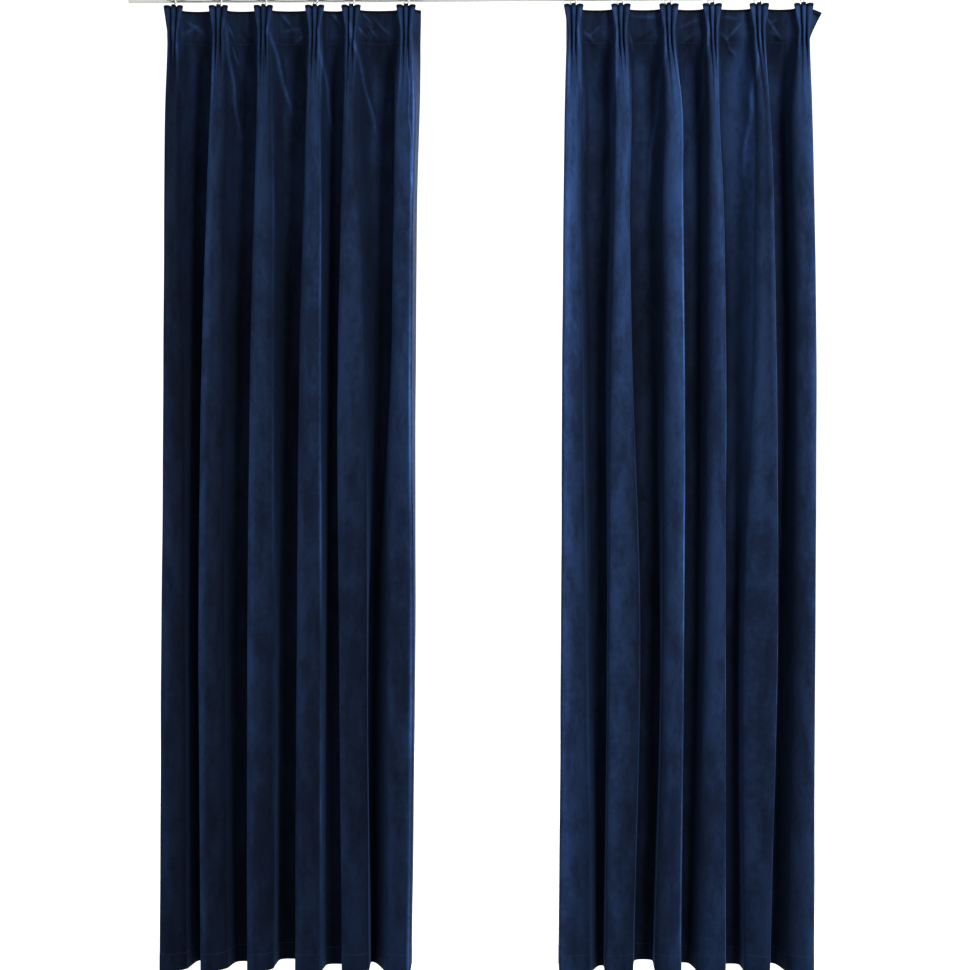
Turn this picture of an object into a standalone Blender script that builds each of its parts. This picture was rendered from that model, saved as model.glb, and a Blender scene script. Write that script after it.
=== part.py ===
"""A pair of velvet pinch pleat curtains on one metal rod, each pleat hung from a ring by a pin hook.

Metres, +Z up. The origin is on the rod's axis, at the middle of its length. X runs along the rod, and the
fronts of the curtains face -Y. A curtain is one closed sheet. At each level its plan is a line of corner points,
and the recesses between the folds are as deep as the length of the cloth asks for, so that the cloth never
stretches.
"""

import math
from collections import namedtuple

import bmesh
import bpy
import numpy as np

MM = 0.001

# Rod, rings and hooks
ROD_LENGTH = 1.836
ROD_RADIUS = 0.010
ROD_SIDES = 24
SEAT_GAP = 0.0003
ARCH_GAP = 0.0005
RING_INNER_RADIUS = 0.014
RING_WIRE_RADIUS = 0.0015
RING_STEPS = 14
RING_SIDES = 6
EYE_RADIUS = 0.0033
EYE_WIRE_RADIUS = 0.0009
EYE_STEPS = 8
EYE_SIDES = 5
HOOK_WIRE_RADIUS = 0.001
HOOK_TAIL_BACK = 0.006
HOOK_TAIL_LENGTH = 0.010
HOOK_SHANK_LENGTH = 0.040

# Curtain cloth
CLOTH = 0.002
TOP = -0.0215
CURTAIN_DROP = 2.457
SPACE_SAG = 0.009
PLEAT_CORNER_SAG = 0.003
END_STRIP = 0.040

# Pinch pleats: three fingers, tacked together at the pinch and fanned out above it
PLEAT_HALF_WIDTH = 0.014
PLEAT_BASE = -0.008
FINGER_DEPTH = 0.0175
OPEN_BACK = 0.24
OUTER_BACK = 0.13
HEM_START = 1.5
PINCH_DROP = 0.070
HEADING_BOW = 0.022
BOW_POWER = 0.35

# Below the pinch the fingers melt into one rounded fold
FINGER_FADE = 0.09
FOLD_FRONT = -0.038
FOLD_FRONT_FADE = 0.10
SLOW_START = 0.03
FOLD_CROWN = 0.007

# Distances below the heading's top at which the tables give the folds' edges, and the levels of the solid
EDGE_DROPS = (0.0, PINCH_DROP, 0.276, 0.505, 0.83, 1.615, 2.412)
LEVELS = (0.0, 0.035, PINCH_DROP, 0.11, 0.17, 0.276, 0.505, 0.83, 1.22, 1.615, 2.03, CURTAIN_DROP)

# Lengths are in millimetres. A fold's pleat is the middle of its pinch, from the middle of the rod. left and right
# are the edges of its front at the last five EDGE_DROPS, from its pleat. spread_high and spread_low are how far
# its left and right side walls spread out on their way back. lean is how far its middle finger leans over below
# the pinch, as a share of half the fold. skew is how far back its right edge stands, or its left edge where it is
# negative. ring_turn is the turn of its ring from square, in degrees. hem is how much lower the hem hangs in the
# recess that follows.
Fold = namedtuple("Fold", "pleat left right spread_high spread_low lean skew ring_turn hem")
LEFT_FOLDS = (
    Fold(-799, (-17, -18, -20, -25, -30), (15, 13, 24, 29, 34), (2, 42), (3, 15), 0.0, 12, 18, 4),
    Fold(-684, (-18, -26, -36, -46, -41), (20, 15, 15, 15, 22), (-3, 30), (-3, 15), -0.35, 18, 30, 2),
    Fold(-569, (-14, -19, -27, -37, -37), (21, 26, 24, 29, 26), (-3, 28), (-3, 8), -0.35, 16, 28, -4),
    Fold(-438, (-19, -24, -34, -41, -46), (14, 17, 16, 19, 19), (-3, 25), (-3, 8), -0.3, 3, 28, 3),
    Fold(-345, (-17, -23, -31, -28, -21), (15, 25, 33, 40, 45), (-3, 30), (-3, -3), -0.45, 10, 31, 9),
    Fold(-205, (-25, -30, -34, -47, -49), (24, 18, 15, 20, 12), (5, 6), (38, 0), -0.25, -4, 31, 0),
)
RIGHT_FOLDS = (
    Fold(222, (-21, -24, -26, -31, -36), (16, 14, 20, 32, 42), (-2, 25), (-2, 25), -0.1, 12, 28, 9),
    Fold(342, (-14, -19, -27, -32, -40), (24, 21, 26, 46, 31), (10, 8), (-2, 10), 0.3, 10, 30, -4),
    Fold(464, (-11, -18, -15, -17, -35), (32, 33, 36, 36, 28), (25, 4), (-2, -3), 0.1, -12, 28, -1),
    Fold(574, (-12, -14, -14, -21, -39), (14, 24, 29, 29, 29), (15, 14), (14, 3), 0.45, -12, 26, 4),
    Fold(693, (-6, -9, -13, -42, -39), (24, 33, 39, 42, 24), (38, -2), (4, 2), 0.45, -12, 31, 5),
    Fold(806, (-31, -28, -23, -28, -43), (18, 23, 27, 25, 21), (12, -2), (20, -3), 0.2, -12, -31, 0),
)

# How far a curtain's two end strips reach past their pleats, at the top and at the pinch, and how far the
# right strip's top edge droops at its outer end, in millimetres
Ends = namedtuple("Ends", "left right droop")
LEFT_ENDS = Ends((1, 1), (22, 20), -3)
RIGHT_ENDS = Ends((1, 1), (34, 13), 14)

# Across a pleat, from -1 to 1: where its points stand, which are at the fingers' tips, and how far the points
# fan out at the top, as shares of its half width. The middle finger's mouth is just wide enough for the pin
# hook's shank.
MOUTH = (HOOK_WIRE_RADIUS + SEAT_GAP + CLOTH / 2) / PLEAT_HALF_WIDTH
FINGER_ACROSS = np.array((-1, -1, -0.6, -0.6, -MOUTH, -MOUTH, MOUTH, MOUTH, 0.6, 0.6, 1, 1))
FINGER_TIP = np.array((0, 1, 1, 0, 0, 1, 1, 0, 0, 1, 1, 0))
FINGER_OPEN = np.array((0, -0.95, -0.3, 0, 0, -0.26, 0.26, 0, 0, 0.3, 0.95, 0))
FOLD_ACROSS = np.linspace(-1, 1, len(FINGER_ACROSS))

# A side wall's points, as shares of its spread and of its depth, and an end strip's
WALL = ((0.08, 0.14), (0.38, 0.5), (0.78, 0.87))
FLOOR = 0.2
END_POINTS = ((0.2, 0.25), (0.6, 0.62), (1.0, 1.0))
RECESS_POINTS = 2 * len(WALL) + 2


def clear_scene():
    for obj in list(bpy.data.objects):
        bpy.data.objects.remove(obj)


def material(name, color, roughness, metallic):
    made = bpy.data.materials.new(name)
    made.use_nodes = True
    shader = made.node_tree.nodes["Principled BSDF"]
    shader.inputs["Base Color"].default_value = (*color, 1)
    shader.inputs["Roughness"].default_value = roughness
    shader.inputs["Metallic"].default_value = metallic
    return made


def add_object(name, data, look):
    data.materials.clear()
    data.materials.append(look)
    obj = bpy.data.objects.new(name, data)
    bpy.context.scene.collection.objects.link(obj)
    return obj


def through(drop, values):
    """A smooth curve through the values at EDGE_DROPS, read at each drop."""
    knots = np.array(EDGE_DROPS)
    values = np.array(values) * MM
    slope = np.gradient(values, knots)
    i = np.clip(np.searchsorted(knots, drop) - 1, 0, len(knots) - 2)
    span = knots[i + 1] - knots[i]
    t = (drop - knots[i]) / span
    rise = t * t * (3 - 2 * t)
    bend = span * t * (1 - t) * ((1 - t) * slope[i] - t * slope[i + 1])
    return values[i] * (1 - rise) + values[i + 1] * rise + bend


def fade(drop, length):
    """1 down to the pinch, and falling away below it, slowly at first."""
    below = np.maximum(drop - PINCH_DROP, 0)
    return np.exp(-(below**2) / (length * (below + SLOW_START)))


def fold_edges(fold, drop):
    half = PLEAT_HALF_WIDTH / MM
    left = through(drop, (-half, -half, *fold.left))
    right = through(drop, (half, half, *fold.right))
    return fold.pleat * MM + left, fold.pleat * MM + right


def front_line(drop):
    return FOLD_FRONT + (PLEAT_BASE - FOLD_FRONT) * fade(drop, FOLD_FRONT_FADE)


def pleat_points(fold, drop):
    """The pleat's three fingers, which melt into the front of one fold: levels x points x (x, y)."""
    left, right = (edge[:, None] for edge in fold_edges(fold, drop))
    down = drop[:, None]
    pleated = fade(down, FINGER_FADE)
    across = FOLD_ACROSS + (FINGER_ACROSS - FOLD_ACROSS) * pleated
    across = across + fold.lean * (1 - pleated) * (1 - across**2)
    fanned = np.maximum(1 - down / PINCH_DROP, 0)
    x = (left + right) / 2 + across * (right - left) / 2 + PLEAT_HALF_WIDTH * fanned * FINGER_OPEN
    shallower = fanned * (OPEN_BACK + OUTER_BACK * across**2)
    finger = FINGER_DEPTH * pleated * FINGER_TIP * (1 - shallower)
    crown = FOLD_CROWN * (1 - pleated) * (1 - across**4)
    turned = (1 + math.copysign(1, fold.skew) * across) / 2
    back = abs(fold.skew) * MM * (1 - pleated) * turned**2
    y = front_line(down) - finger - crown + back
    return np.stack((x, y), axis=2)


def recess_points(drop, right, left, spreads, skews, depth):
    """The cloth between one fold's right edge and the next one's left edge, bowed back in the heading."""
    steep = 1 - fade(drop, FINGER_FADE)
    even = np.arange(1, RECESS_POINTS + 1) / (RECESS_POINTS + 1)
    leaving = [right + spreads[0] * share for share, _ in WALL]
    coming = [left - spreads[1] * share for share, _ in reversed(WALL)]
    floor = (left - spreads[1]) - (right + spreads[0])
    bottom = [right + spreads[0] + floor * FLOOR, left - spreads[1] - floor * FLOOR]
    walls = np.array(leaving + bottom + coming)
    backs = np.array([back for _, back in WALL])
    folded = np.concatenate((backs, (1, 1), backs[::-1]))[:, None]
    bowed = np.sin(math.pi * even)[:, None] ** BOW_POWER
    x = (right + (left - right) * even[:, None]) * (1 - steep) + walls * steep
    back = bowed * (1 - steep) + folded * steep
    half = RECESS_POINTS // 2
    edge = np.repeat((max(skews[0], 0), max(-skews[1], 0)), half)[:, None] * MM * steep
    y = front_line(drop) + edge + (depth - edge) * back
    return np.stack((x.T, y.T), axis=2)


def end_points(drop, edge, reach, depth):
    points = [(edge + reach * out, front_line(drop) + depth * back) for out, back in END_POINTS]
    return np.array(points).transpose(2, 0, 1)


def length_of(points):
    return np.linalg.norm(np.diff(points, axis=1), axis=2).sum(axis=1)


def deep_enough(drop, length, made):
    """The points of made(depth) at the depth that uses the given length of cloth at every level."""
    low = np.zeros(len(drop))
    high = np.full(len(drop), length)
    for _ in range(40):
        middle = (low + high) / 2
        short = length_of(made(middle)) < length
        low = np.where(short, middle, low)
        high = np.where(short, high, middle)
    return made(low)


def cell(fold, following, drop, depth):
    """From the middle of one fold to the middle of the next."""
    half = len(FINGER_ACROSS) // 2
    first = pleat_points(fold, drop)[:, half - 1 :]
    last = pleat_points(following, drop)[:, :half]
    high, low = fold.spread_high[1], fold.spread_low[1]
    spreads_right = through(drop, (high, high, high, high, high, low, low))
    high, low = following.spread_high[0], following.spread_low[0]
    spreads_left = through(drop, (high, high, high, high, high, low, low))
    right = fold_edges(fold, drop)[1]
    left = fold_edges(following, drop)[0]
    skews = (fold.skew, following.skew)
    recess = recess_points(drop, right, left, (spreads_right, spreads_left), skews, depth)
    return np.concatenate((first, recess, last), axis=1)


def curtain_plan(folds, ends, drop):
    """The plan of the cloth's middle at each drop: levels x points x (x, y)."""
    at_pinch = np.array((PINCH_DROP,))
    half = len(FINGER_ACROSS) // 2
    pleat_length = length_of(pleat_points(folds[0], at_pinch))[0] / 2

    def end(fold, side, reach, outward):
        high, low = fold.spread_high[side], fold.spread_low[side]
        out = outward * through(drop, (*reach, high, high, high, low, low))
        pleat = pleat_points(fold, drop)
        near = pleat[:, :half][:, ::-1] if side == 0 else pleat[:, half - 1 :]
        edge = fold_edges(fold, drop)[side]

        def made(depth):
            return np.concatenate((near, end_points(drop, edge, out, depth)), axis=1)

        return deep_enough(drop, pleat_length + END_STRIP, made)

    parts = [end(folds[0], 0, ends.left, -1)[:, ::-1]]
    for fold, following in zip(folds, folds[1:]):
        length = length_of(cell(fold, following, at_pinch, HEADING_BOW))[0]
        parts.append(deep_enough(drop, length, lambda depth: cell(fold, following, drop, depth))[:, 1:])
    parts.append(end(folds[-1], 1, ends.right, 1)[:, 1:])
    return np.concatenate(parts, axis=1)


def lowered_hem(folds, drop):
    """How much lower each column hangs, which grows from HEM_START down to the hem."""
    bell = np.sin(math.pi * np.arange(1, RECESS_POINTS + 1) / (RECESS_POINTS + 1)) ** BOW_POWER
    pleat = np.zeros(len(FINGER_ACROSS))
    strip = np.zeros(len(END_POINTS))
    columns = [strip]
    for fold in folds[:-1]:
        columns += [pleat, fold.hem * MM * bell]
    share = np.clip((drop - HEM_START) / (CURTAIN_DROP - HEM_START), 0, 1)
    return share[:, None] ** 2 * np.concatenate(columns + [pleat, strip])


def top_sag(folds, ends):
    """How far each column's top lies below the pleats' peaks."""
    corners = PLEAT_CORNER_SAG * FINGER_ACROSS**2
    corners[[0, -1]] = SPACE_SAG
    space = np.full(RECESS_POINTS, SPACE_SAG)
    strip = np.full(len(END_POINTS), SPACE_SAG)
    columns = [strip]
    for _ in folds[1:]:
        columns += [corners, space]
    outward = np.array([out for out, _ in END_POINTS])
    return np.concatenate(columns + [corners, strip + ends.droop * MM * outward])


def offset_directions(plan):
    """At each point, the mitred sideways step that keeps both neighbouring walls one step thick."""
    along = np.diff(plan, axis=1)
    along /= np.linalg.norm(along, axis=2, keepdims=True)
    side = np.stack((along[:, :, 1], -along[:, :, 0]), axis=2)
    before = np.concatenate((side[:, :1], side), axis=1)
    after = np.concatenate((side, side[:, -1:]), axis=1)
    return (before + after) / (1 + (before * after).sum(axis=2, keepdims=True))


def curtain(name, folds, ends, look):
    drop = np.array(LEVELS)
    plan = curtain_plan(folds, ends, drop)
    rows, columns = plan.shape[:2]
    sag = top_sag(folds, ends) * np.maximum(1 - drop / PINCH_DROP, 0)[:, None]
    z = TOP - drop[:, None] - sag - lowered_hem(folds, drop)
    step = offset_directions(plan) * CLOTH / 2
    faces = [np.concatenate((flat, z[:, :, None]), axis=2) for flat in (plan + step, plan - step)]
    mesh = bmesh.new()
    front, back = ([[mesh.verts.new(co) for co in row] for row in face] for face in faces)
    for i in range(rows - 1):
        for j in range(columns - 1):
            mesh.faces.new((front[i][j], front[i + 1][j], front[i + 1][j + 1], front[i][j + 1]))
            mesh.faces.new((back[i][j], back[i][j + 1], back[i + 1][j + 1], back[i + 1][j]))
    for i in range(rows - 1):
        for j, turned in ((0, 1), (columns - 1, -1)):
            rim = (front[i][j], back[i][j], back[i + 1][j], front[i + 1][j])
            mesh.faces.new(rim[::turned])
    for j in range(columns - 1):
        for i, turned in ((0, 1), (rows - 1, -1)):
            rim = (front[i][j], front[i][j + 1], back[i][j + 1], back[i][j])
            mesh.faces.new(rim[::turned])
    bmesh.ops.recalc_face_normals(mesh, faces=mesh.faces)
    data = bpy.data.meshes.new(name)
    mesh.to_mesh(data)
    mesh.free()
    return add_object(name, data, look)


def rod(look):
    mesh = bmesh.new()
    bmesh.ops.create_cone(
        mesh,
        cap_ends=True,
        segments=ROD_SIDES,
        radius1=ROD_RADIUS,
        radius2=ROD_RADIUS,
        depth=ROD_LENGTH,
    )
    data = bpy.data.meshes.new("rod")
    mesh.to_mesh(data)
    mesh.free()
    data.shade_smooth()
    data.set_sharp_from_angle(angle=math.radians(40))
    made = add_object("rod", data, look)
    made.rotation_euler.y = math.pi / 2
    return made


def torus(name, radius, wire, steps, sides):
    """A ring about the X axis."""
    around = np.arange(steps) * math.tau / steps
    about = np.arange(sides) * math.tau / sides
    mesh = bmesh.new()
    grid = [
        [
            mesh.verts.new(
                (
                    wire * math.sin(b),
                    (radius + wire * math.cos(b)) * math.sin(a),
                    (radius + wire * math.cos(b)) * math.cos(a),
                )
            )
            for b in about
        ]
        for a in around
    ]
    for i in range(steps):
        for j in range(sides):
            after, beside = (i + 1) % steps, (j + 1) % sides
            mesh.faces.new((grid[i][j], grid[after][j], grid[after][beside], grid[i][beside]))
    bmesh.ops.recalc_face_normals(mesh, faces=mesh.faces)
    data = bpy.data.meshes.new(name)
    mesh.to_mesh(data)
    mesh.free()
    return data


RING_RADIUS = RING_INNER_RADIUS + RING_WIRE_RADIUS
RING_CENTRE = ROD_RADIUS / math.cos(math.pi / ROD_SIDES) + SEAT_GAP - RING_INNER_RADIUS
EYE_CENTRE = RING_CENTRE - RING_RADIUS - EYE_RADIUS - EYE_WIRE_RADIUS / 2
HOOK_ARCH = EYE_CENTRE - EYE_RADIUS + EYE_WIRE_RADIUS + ARCH_GAP + HOOK_WIRE_RADIUS


def ring_mesh(look):
    """A round wire ring with a small round eye under it, whose hole faces the front."""
    ring = add_object("ring_blank", torus("ring", RING_RADIUS, RING_WIRE_RADIUS, RING_STEPS, RING_SIDES), look)
    eye = add_object("eye_blank", torus("eye", EYE_RADIUS, EYE_WIRE_RADIUS, EYE_STEPS, EYE_SIDES), look)
    eye.rotation_euler.z = math.pi / 2
    eye.location.z = EYE_CENTRE - RING_CENTRE
    joined = ring.modifiers.new("eye", "BOOLEAN")
    joined.operation = "UNION"
    joined.object = eye
    bpy.context.view_layer.update()
    whole = ring.evaluated_get(bpy.context.evaluated_depsgraph_get())
    data = bpy.data.meshes.new_from_object(whole)
    data.name = "ring_with_eye"
    bpy.data.objects.remove(ring)
    bpy.data.objects.remove(eye)
    return data


def hook_curve():
    """A pin hook: a straight shank in the mouth of the middle finger, and an arch over the eye's lower wire."""
    reach = -PLEAT_BASE
    arch = [
        (0, -reach * math.cos(turn), HOOK_ARCH - reach * (1 - math.sin(turn)))
        for turn in np.linspace(0, math.pi / 2, 4)
    ]
    foot = (0, PLEAT_BASE, HOOK_ARCH - reach - HOOK_SHANK_LENGTH)
    bend = (0, HOOK_TAIL_BACK * 0.8, HOOK_ARCH - HOOK_TAIL_BACK * 0.4)
    tail = (0, HOOK_TAIL_BACK, HOOK_ARCH - HOOK_TAIL_LENGTH)
    points = [foot, *arch, bend, tail]
    data = bpy.data.curves.new("hook", "CURVE")
    data.dimensions = "3D"
    data.bevel_depth = HOOK_WIRE_RADIUS
    data.bevel_resolution = 1
    data.use_fill_caps = True
    line = data.splines.new("POLY")
    line.points.add(len(points) - 1)
    for point, co in zip(line.points, points):
        point.co = (*co, 1)
    return data


def rings_and_hooks(folds, side, ring_look, hook_look):
    ring = ring_mesh(ring_look)
    hook = hook_curve()
    for number, fold in enumerate(folds, 1):
        hung = add_object(f"ring_{side}_{number}", ring, ring_look)
        hung.location = (fold.pleat * MM, 0, RING_CENTRE)
        hung.rotation_euler.z = math.radians(fold.ring_turn)
        pinned = add_object(f"hook_{side}_{number}", hook, hook_look)
        pinned.location.x = fold.pleat * MM


def main():
    clear_scene()
    velvet = material("velvet", (0.012, 0.028, 0.115), 0.8, 0.0)
    steel = material("steel", (0.55, 0.55, 0.54), 0.35, 1.0)
    nickel = material("nickel", (0.75, 0.76, 0.75), 0.25, 1.0)
    rod(steel)
    for side, folds, ends in (("left", LEFT_FOLDS, LEFT_ENDS), ("right", RIGHT_FOLDS, RIGHT_ENDS)):
        curtain(f"curtain_{side}", folds, ends, velvet)
        rings_and_hooks(folds, side, nickel, steel)


main()
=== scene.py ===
import math
from collections import namedtuple

import bmesh
import bpy
import numpy as np
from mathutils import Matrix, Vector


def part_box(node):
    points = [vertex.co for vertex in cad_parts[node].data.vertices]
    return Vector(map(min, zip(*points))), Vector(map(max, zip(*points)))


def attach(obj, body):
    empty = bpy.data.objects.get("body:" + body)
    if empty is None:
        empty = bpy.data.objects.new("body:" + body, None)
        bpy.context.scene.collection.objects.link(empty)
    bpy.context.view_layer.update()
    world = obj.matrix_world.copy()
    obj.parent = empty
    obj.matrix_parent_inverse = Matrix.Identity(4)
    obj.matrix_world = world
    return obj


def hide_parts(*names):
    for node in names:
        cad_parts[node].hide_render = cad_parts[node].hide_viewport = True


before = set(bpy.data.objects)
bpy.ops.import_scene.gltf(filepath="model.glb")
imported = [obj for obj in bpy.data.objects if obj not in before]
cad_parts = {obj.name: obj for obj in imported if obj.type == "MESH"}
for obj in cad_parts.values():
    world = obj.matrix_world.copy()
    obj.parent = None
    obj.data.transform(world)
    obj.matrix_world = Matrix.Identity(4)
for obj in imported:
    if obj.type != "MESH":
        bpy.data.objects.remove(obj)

bl_info = {
    "name": "Velvet pinch pleat curtains",
    "version": (1, 0, 0),
    "blender": (4, 5, 0),
    "location": "View3D > Sidebar > Curtains",
    "description": "A pair of velvet pinch pleat curtains on one metal rod, hung from rings by pin hooks",
    "category": "Add Mesh",
}

MM = 0.001
X_AXIS = np.array((1.0, 0.0, 0.0))

# The rod, rings and hooks, as in the part's source
ROD_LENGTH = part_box("rod")[1][0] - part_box("rod")[0][0]
ROD_RADIUS = 0.010
ROD_BEVEL = 0.0006
SEAT_GAP = 0.0003
ARCH_GAP = 0.0005
ROD_SOURCE_SIDES = 24
RING_INNER_RADIUS = 0.014
EYE_RADIUS = 0.0033
HOOK_TAIL_BACK = 0.006
HOOK_TAIL_LENGTH = 0.010
HOOK_SHANK_LENGTH = 0.040
HOOK_POINT = 0.0004

# The cloth's shape, as in the part's source
CLOTH = 0.002
TOP = -0.0215
CURTAIN_DROP = 2.457
SPACE_SAG = 0.009
PLEAT_CORNER_SAG = 0.003
END_STRIP = 0.040
PLEAT_HALF_WIDTH = 0.014
PLEAT_BASE = -0.008
FINGER_DEPTH = 0.0175
OPEN_BACK = 0.24
OUTER_BACK = 0.13
HEM_START = 1.5
PINCH_DROP = 0.070
HEADING_BOW = 0.022
BOW_POWER = 0.35
FINGER_FADE = 0.09
FOLD_FRONT = -0.038
FOLD_FRONT_FADE = 0.10
SLOW_START = 0.03
HALVINGS = 40
FOLD_CROWN = 0.007
EDGE_DROPS = (0.0, PINCH_DROP, 0.276, 0.505, 0.83, 1.615, 2.412)

# Lengths are in millimetres. A fold's pleat is the middle of its pinch, from the middle of the rod. left and
# right are the edges of its front at the last five EDGE_DROPS, from its pleat. spread_high and spread_low are
# how far its left and right side walls spread out on their way back. lean is how far its middle finger leans
# over below the pinch, as a share of half the fold. skew is how far back its right edge stands, or its left
# edge where it is negative. ring_turn is the turn of its ring from square, in degrees. hem is how much lower
# the hem hangs in the recess that follows.
Fold = namedtuple("Fold", "pleat left right spread_high spread_low lean skew ring_turn hem")
LEFT_FOLDS = (
    Fold(-799, (-17, -18, -20, -25, -30), (15, 13, 24, 29, 34), (2, 42), (3, 15), 0.0, 12, 18, 4),
    Fold(-684, (-18, -26, -36, -46, -41), (20, 15, 15, 15, 22), (-3, 30), (-3, 15), -0.35, 18, 30, 2),
    Fold(-569, (-14, -19, -27, -37, -37), (21, 26, 24, 29, 26), (-3, 28), (-3, 8), -0.35, 16, 28, -4),
    Fold(-438, (-19, -24, -34, -41, -46), (14, 17, 16, 19, 19), (-3, 25), (-3, 8), -0.3, 3, 28, 3),
    Fold(-345, (-17, -23, -31, -28, -21), (15, 25, 33, 40, 45), (-3, 30), (-3, -3), -0.45, 10, 31, 9),
    Fold(-205, (-25, -30, -34, -47, -49), (24, 18, 15, 20, 12), (5, 6), (38, 0), -0.25, -4, 31, 0),
)
RIGHT_FOLDS = (
    Fold(222, (-21, -24, -26, -31, -36), (16, 14, 20, 32, 42), (-2, 25), (-2, 25), -0.1, 12, 28, 9),
    Fold(342, (-14, -19, -27, -32, -40), (24, 21, 26, 46, 31), (10, 8), (-2, 10), 0.3, 10, 30, -4),
    Fold(464, (-11, -18, -15, -17, -35), (32, 33, 36, 36, 28), (25, 4), (-2, -3), 0.1, -12, 28, -1),
    Fold(574, (-12, -14, -14, -21, -39), (14, 24, 29, 29, 29), (15, 14), (14, 3), 0.45, -12, 26, 4),
    Fold(693, (-6, -9, -13, -42, -39), (24, 33, 39, 42, 24), (38, -2), (4, 2), 0.45, -12, 31, 5),
    Fold(806, (-31, -28, -23, -28, -43), (18, 23, 27, 25, 21), (12, -2), (20, -3), 0.2, -12, -31, 0),
)
# How far a curtain's two end strips reach past their pleats, at the top and at the pinch, and how far the
# right strip's top edge droops at its outer end, in millimetres
Ends = namedtuple("Ends", "left right droop")
LEFT_ENDS = Ends((1, 1), (22, 20), -3)
RIGHT_ENDS = Ends((1, 1), (34, 13), 14)

# Painted light and shade on each fold's front: how bright it is painted at its left side, middle and right
# side, high up and low down, and how much brighter still along its right edge, a painted highlight. wall is
# how much brighter the side wall is painted that ends the recess on its right. A space's painted light is the
# same for all
# recesses: their left side, middle and right side in the heading, high up and low down.
Nap = namedtuple("Nap", "high low rim wall", defaults=(0.0,))
LEFT_PAINTED_FOLD_LIGHT = (
    Nap((0.65, 0.25, 0.30), (1.05, 0.35, 0.20), 0.0),
    Nap((2.10, 0.65, 0.30), (2.20, 0.40, 0.30), 0.0),
    Nap((1.20, 0.60, 0.45), (1.80, 0.60, 0.45), 0.2),
    Nap((0.80, 0.75, 0.85), (1.10, 0.55, 0.50), 0.8),
    Nap((0.90, 0.65, 0.60), (1.35, 0.55, 0.45), 0.0),
    Nap((1.05, 0.90, 0.80), (1.10, 0.62, 0.80), 1.0),
)
RIGHT_PAINTED_FOLD_LIGHT = (
    Nap((2.50, 1.05, 0.85), (2.00, 0.75, 0.45), 0.2),
    Nap((0.60, 1.00, 1.20), (1.00, 0.50, 0.35), 0.4),
    Nap((0.50, 0.90, 1.20), (0.55, 0.75, 1.15), 1.0),
    Nap((0.30, 0.95, 1.60), (0.70, 0.75, 1.10), 1.2, 2.2),
    Nap((0.75, 0.30, 1.70), (0.75, 0.50, 1.00), 0.6),
    Nap((0.35, 0.70, 1.50), (0.35, 0.60, 1.50), 0.9),
)
LEFT_PAINTED_RECESS_LIGHT = ((0.32, 0.32, 0.64), (0.50, 0.60, 0.80), (0.60, 0.90, 0.90))
RIGHT_PAINTED_RECESS_LIGHT = ((0.22, 0.19, 0.60), (0.40, 0.45, 0.80), (0.50, 0.70, 0.70))

# Soft creases in the cloth as the front shows them: two ends as x and drop below the heading's top, then half
# the width and the height, all in millimetres. A negative height is a trough.
Crease = namedtuple("Crease", "x0 drop0 x1 drop1 width height")


def crease_rows(*rows):
    return [Crease(*row) for row in rows]


LEFT_CREASES = crease_rows(
    (-797, 40, -778, 250, 6, 3.0),
    (-671, 40, -638, 330, 7, 5.0),
    (-556, 60, -508, 260, 8, 5.0),
    (-430, 60, -398, 320, 7, 4.0),
    (-348, 50, -282, 330, 8, 5.0),
    (-202, 75, -187, 500, 4, 2.5),
    (-188, 75, -171, 330, 4, 2.5),
    (-665, 45, -650, 82, 5, 4.0),
    (-657, 88, -642, 134, 6, 3.5),
    (-320, 18, -294, 42, 5, 4.5),
    (-328, 56, -306, 77, 5, 4.5),
    (-308, 38, -278, 77, 5, 4.0),
    (-285, 30, -251, 65, 6, 4.0),
    (-310, 60, -285, 50, 5, -3.0),
    (-768, 34, -732, 62, 11, 3.5),
    (-778, 68, -740, 46, 8, 3.0),
    (-524, 20, -498, 48, 8, 4.5),
    (-522, 62, -480, 50, 7, 3.5),
    (-502, 86, -468, 70, 7, 3.0),
    (-402, 14, -378, 38, 8, 3.5),
    (-640, 60, -600, 84, 8, -2.5),
)
RIGHT_CREASES = crease_rows(
    (232, 40, 252, 380, 7, 4.0),
    (334, 40, 308, 540, 7, 4.0),
    (462, 40, 416, 460, 7, 3.0),
    (562, 40, 550, 320, 7, 4.0),
    (696, 60, 660, 430, 8, 3.0),
    (250, 60, 279, 93, 7, 4.0),
    (262, 74, 292, 48, 7, 3.5),
    (366, 72, 382, 114, 6, 4.0),
    (370, 22, 434, 30, 8, 3.0),
    (390, 86, 426, 64, 7, -3.0),
    (496, 54, 542, 36, 8, 3.5),
    (500, 92, 528, 70, 7, 3.0),
    (618, 82, 649, 46, 6, 4.5),
    (600, 70, 626, 94, 6, 4.5),
    (622, 96, 644, 112, 6, 3.5),
    (604, 26, 640, 34, 8, 3.0),
    (714, 28, 754, 80, 6, 5.5),
    (726, 66, 760, 78, 5, 3.5),
    (726, 46, 748, 34, 5, 3.5),
)

# All that belongs to one curtain. phase sets its waviness apart, and flat is its cut size in metres.
# brightness is painted light over the whole curtain, higher on the right one, which stands nearer the key
# light.
Curtain = namedtuple("Curtain", "side phase flat brightness folds ends naps spaces creases")
LEFT = Curtain(
    "left", 0.4, (1.42, 2.46), 0.72, LEFT_FOLDS, LEFT_ENDS, LEFT_PAINTED_FOLD_LIGHT, LEFT_PAINTED_RECESS_LIGHT, LEFT_CREASES
)
RIGHT = Curtain(
    "right", 2.3, (1.41, 2.46), 0.96, RIGHT_FOLDS, RIGHT_ENDS, RIGHT_PAINTED_FOLD_LIGHT, RIGHT_PAINTED_RECESS_LIGHT, RIGHT_CREASES
)

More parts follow.
